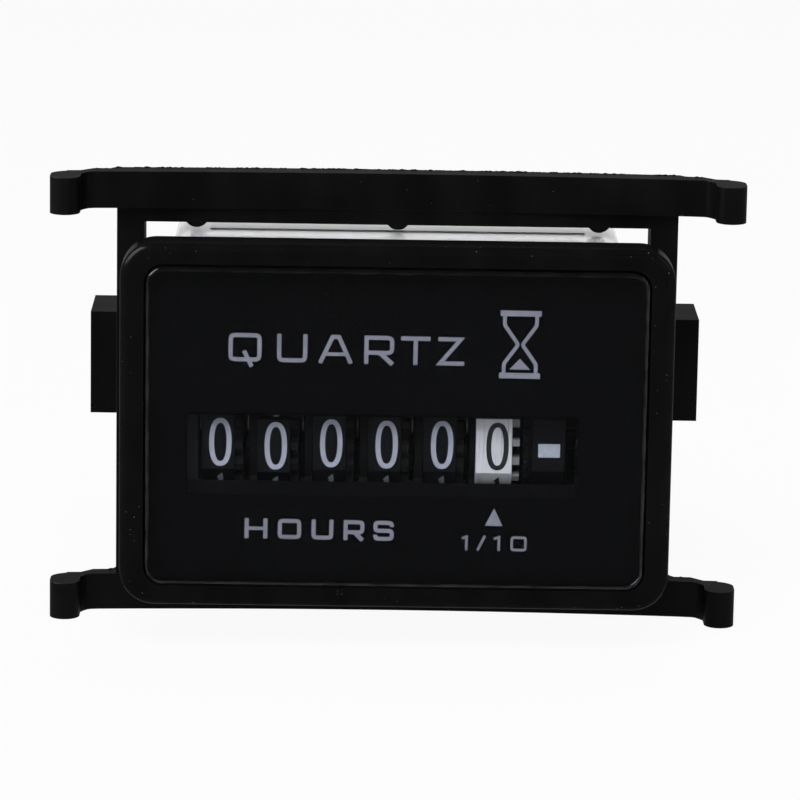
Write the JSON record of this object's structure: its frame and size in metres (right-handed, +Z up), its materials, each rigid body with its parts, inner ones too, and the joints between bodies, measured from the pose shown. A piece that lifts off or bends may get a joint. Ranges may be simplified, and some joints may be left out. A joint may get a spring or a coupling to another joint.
{
  "type": "hour meter",
  "caption": "Panel-mount quartz hour meter: rounded bezel with a lens over number wheels, light grey rear housing with blade terminals, and a black slide-on mounting clip.",
  "frame": {"origin": "middle of the bezel's back face, on the plane of the panel's front", "axes": "+X to the right seen from the front, +Y from the panel to the back, +Z up"},
  "size_m": [0.069, 0.0484, 0.045],
  "materials": {
    "bezel_black": "satin",
    "lens_clear": "gloss",
    "mask_black": "gloss",
    "housing_grey": "satin",
    "terminal_brass": "plain",
    "frame_grey": "matte",
    "steel": "bright",
    "wheel_black": "matte",
    "wheel_white": "satin",
    "gear_ivory": "matte",
    "magnet": "matte",
    "lamination": "matte",
    "bobbin_white": "matte",
    "copper": "enamelled",
    "board_green": "satin",
    "crystal_can": "bright",
    "chip_black": "matte",
    "capacitor_sleeve": "satin",
    "resistor_beige": "satin",
    "clip_black": "satin"
  },
  "bodies": {
    "case": {"bezel": "bezel_black", "lens": "lens_clear", "face_mask": "mask_black", "housing": "housing_grey", "terminal_positive": "terminal_brass", "terminal_negative": "terminal_brass", "counter_frame": "frame_grey", "wheel_shaft": "steel", "pinion_shaft": "steel", "motor_stator": "lamination", "coil_core": "lamination", "coil_bobbin": "bobbin_white", "coil_winding": "copper", "motor_screw_front": "steel", "motor_screw_rear": "steel", "circuit_board": "board_green", "board_screw_left": "steel", "board_screw_right": "steel", "quartz_crystal": "crystal_can", "timer_chip": "chip_black", "capacitor": "capacitor_sleeve", "resistor": "resistor_beige", "diode": "chip_black"},
    "clip": {"mounting_clip": "clip_black"},
    "run_wheel": {"run_wheel": "wheel_black"},
    "reduction_gear": {"reduction_gear": "gear_ivory"},
    "intermediate_gear": {"intermediate_gear": "gear_ivory"},
    "rotor": {"motor_rotor": "magnet"},
    "ten_thousands_wheel": {"wheel_ten_thousands": "wheel_black"},
    "thousands_wheel": {"wheel_thousands": "wheel_black"},
    "hundreds_wheel": {"wheel_hundreds": "wheel_black"},
    "tens_wheel": {"wheel_tens": "wheel_black"},
    "units_wheel": {"wheel_units": "wheel_black"},
    "tenths_wheel": {"wheel_tenths": "wheel_white"},
    "carry_pinion_1": {"carry_pinion_1": "gear_ivory"},
    "carry_pinion_2": {"carry_pinion_2": "gear_ivory"},
    "carry_pinion_3": {"carry_pinion_3": "gear_ivory"},
    "carry_pinion_4": {"carry_pinion_4": "gear_ivory"},
    "carry_pinion_5": {"carry_pinion_5": "gear_ivory"}
  },
  "joints": [
    {"name": "clip_slide", "type": "slide", "parent": "case", "child": "clip", "axis": [0, 1, 0], "range_m": [-0.005, 0.032]},
    {"name": "run_spin", "type": "hinge", "parent": "case", "child": "run_wheel", "pos_m": [0, 0.00799, -0.0022], "axis": [-1, 0, 0], "continuous": true},
    {"name": "reduction_spin", "type": "hinge", "parent": "case", "child": "reduction_gear", "pos_m": [0, 0.01289, 0.00629], "axis": [-1, 0, 0], "continuous": true},
    {"name": "intermediate_spin", "type": "hinge", "parent": "case", "child": "intermediate_gear", "pos_m": [0, 0.01739, -0.00562], "axis": [-1, 0, 0], "continuous": true},
    {"name": "rotor_spin", "type": "hinge", "parent": "case", "child": "rotor", "pos_m": [0, 0.02539, -0.00562], "axis": [-1, 0, 0], "continuous": true},
    {"name": "ten_thousands_spin", "type": "hinge", "parent": "case", "child": "ten_thousands_wheel", "pos_m": [0, 0.00799, -0.0022], "axis": [-1, 0, 0], "continuous": true},
    {"name": "carry_spin_1", "type": "hinge", "parent": "case", "child": "carry_pinion_1", "pos_m": [0, 0.01289, 0.00629], "axis": [-1, 0, 0], "continuous": true},
    {"name": "thousands_spin", "type": "hinge", "parent": "case", "child": "thousands_wheel", "pos_m": [0, 0.00799, -0.0022], "axis": [-1, 0, 0], "continuous": true},
    {"name": "carry_spin_2", "type": "hinge", "parent": "case", "child": "carry_pinion_2", "pos_m": [0, 0.01289, 0.00629], "axis": [-1, 0, 0], "continuous": true},
    {"name": "hundreds_spin", "type": "hinge", "parent": "case", "child": "hundreds_wheel", "pos_m": [0, 0.00799, -0.0022], "axis": [-1, 0, 0], "continuous": true},
    {"name": "carry_spin_3", "type": "hinge", "parent": "case", "child": "carry_pinion_3", "pos_m": [0, 0.01289, 0.00629], "axis": [-1, 0, 0], "continuous": true},
    {"name": "tens_spin", "type": "hinge", "parent": "case", "child": "tens_wheel", "pos_m": [0, 0.00799, -0.0022], "axis": [-1, 0, 0], "continuous": true},
    {"name": "carry_spin_4", "type": "hinge", "parent": "case", "child": "carry_pinion_4", "pos_m": [0, 0.01289, 0.00629], "axis": [-1, 0, 0], "continuous": true},
    {"name": "units_spin", "type": "hinge", "parent": "case", "child": "units_wheel", "pos_m": [0, 0.00799, -0.0022], "axis": [-1, 0, 0], "continuous": true},
    {"name": "carry_spin_5", "type": "hinge", "parent": "case", "child": "carry_pinion_5", "pos_m": [0, 0.01289, 0.00629], "axis": [-1, 0, 0], "continuous": true},
    {"name": "tenths_spin", "type": "hinge", "parent": "case", "child": "tenths_wheel", "pos_m": [0, 0.00799, -0.0022], "axis": [-1, 0, 0], "continuous": true}
  ],
  "couplings": [
    {"joint": "reduction_spin", "follows": "run_spin", "ratio": -0.25},
    {"joint": "intermediate_spin", "follows": "run_spin", "ratio": -4},
    {"joint": "rotor_spin", "follows": "run_spin", "ratio": 16},
    {"joint": "ten_thousands_spin", "follows": "run_spin", "ratio": 0.00000083333},
    {"joint": "carry_spin_1", "follows": "run_spin", "ratio": -0.0000020833},
    {"joint": "thousands_spin", "follows": "run_spin", "ratio": 0.0000083333},
    {"joint": "carry_spin_2", "follows": "run_spin", "ratio": -0.000020833},
    {"joint": "hundreds_spin", "follows": "run_spin", "ratio": 0.000083333},
    {"joint": "carry_spin_3", "follows": "run_spin", "ratio": -0.00020833},
    {"joint": "tens_spin", "follows": "run_spin", "ratio": 0.00083333},
    {"joint": "carry_spin_4", "follows": "run_spin", "ratio": -0.0020833},
    {"joint": "units_spin", "follows": "run_spin", "ratio": 0.0083333},
    {"joint": "carry_spin_5", "follows": "run_spin", "ratio": -0.020833},
    {"joint": "tenths_spin", "follows": "run_spin", "ratio": 0.083333}
  ]
}
